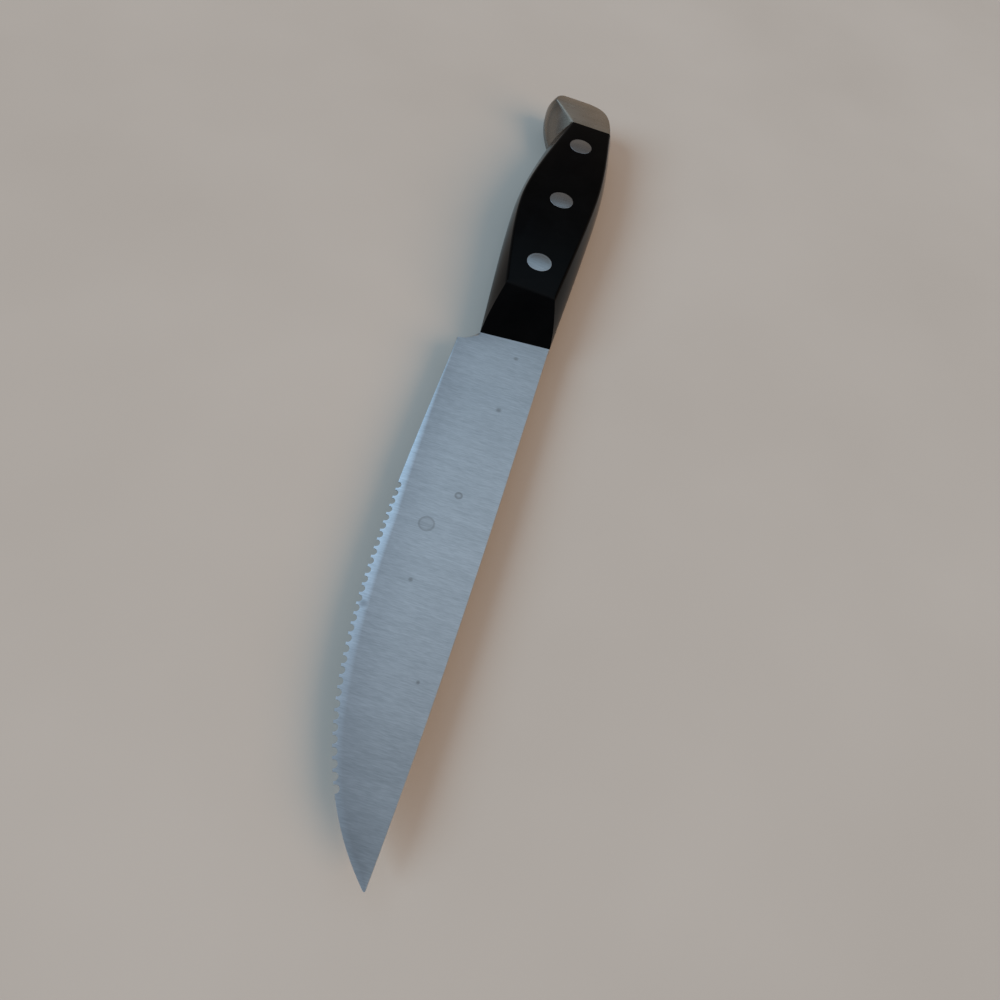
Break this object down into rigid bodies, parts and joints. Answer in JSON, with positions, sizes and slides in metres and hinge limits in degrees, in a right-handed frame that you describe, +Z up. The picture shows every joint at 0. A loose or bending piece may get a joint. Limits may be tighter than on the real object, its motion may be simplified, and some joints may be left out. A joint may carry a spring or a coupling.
{
  "type": "steak knife",
  "caption": "Table knife with a micro-serrated, flat-ground steel blade on a full tang, riveted black scales and a hooked steel end cap, for cutting cooked meat at the table.",
  "frame": {"origin": "under the middle of the knife's box, on the plane of the lower flank that it lies on", "axes": "+X along the knife towards the tip, +Y towards the spine, +Z up through the thickness"},
  "size_m": [0.2188, 0.0244, 0.0125],
  "materials": {
    "blade_steel": "stainless steel, fine satin grind straight across the blade, with a brighter bevel along the edge",
    "scale_plastic": "black moulded plastic, semi-gloss",
    "rivet_steel": "steel ground flush with the flanks, soft satin",
    "cap_steel": "steel, soft satin polish"
  },
  "bodies": {
    "root": {"blade": "blade_steel", "upper_scale": "scale_plastic", "lower_scale": "scale_plastic", "front_rivet_stud": "rivet_steel", "front_rivet_barrel": "rivet_steel", "middle_rivet_stud": "rivet_steel", "middle_rivet_barrel": "rivet_steel", "rear_rivet_stud": "rivet_steel", "rear_rivet_barrel": "rivet_steel", "end_cap": "cap_steel"}
  },
  "joints": []
}
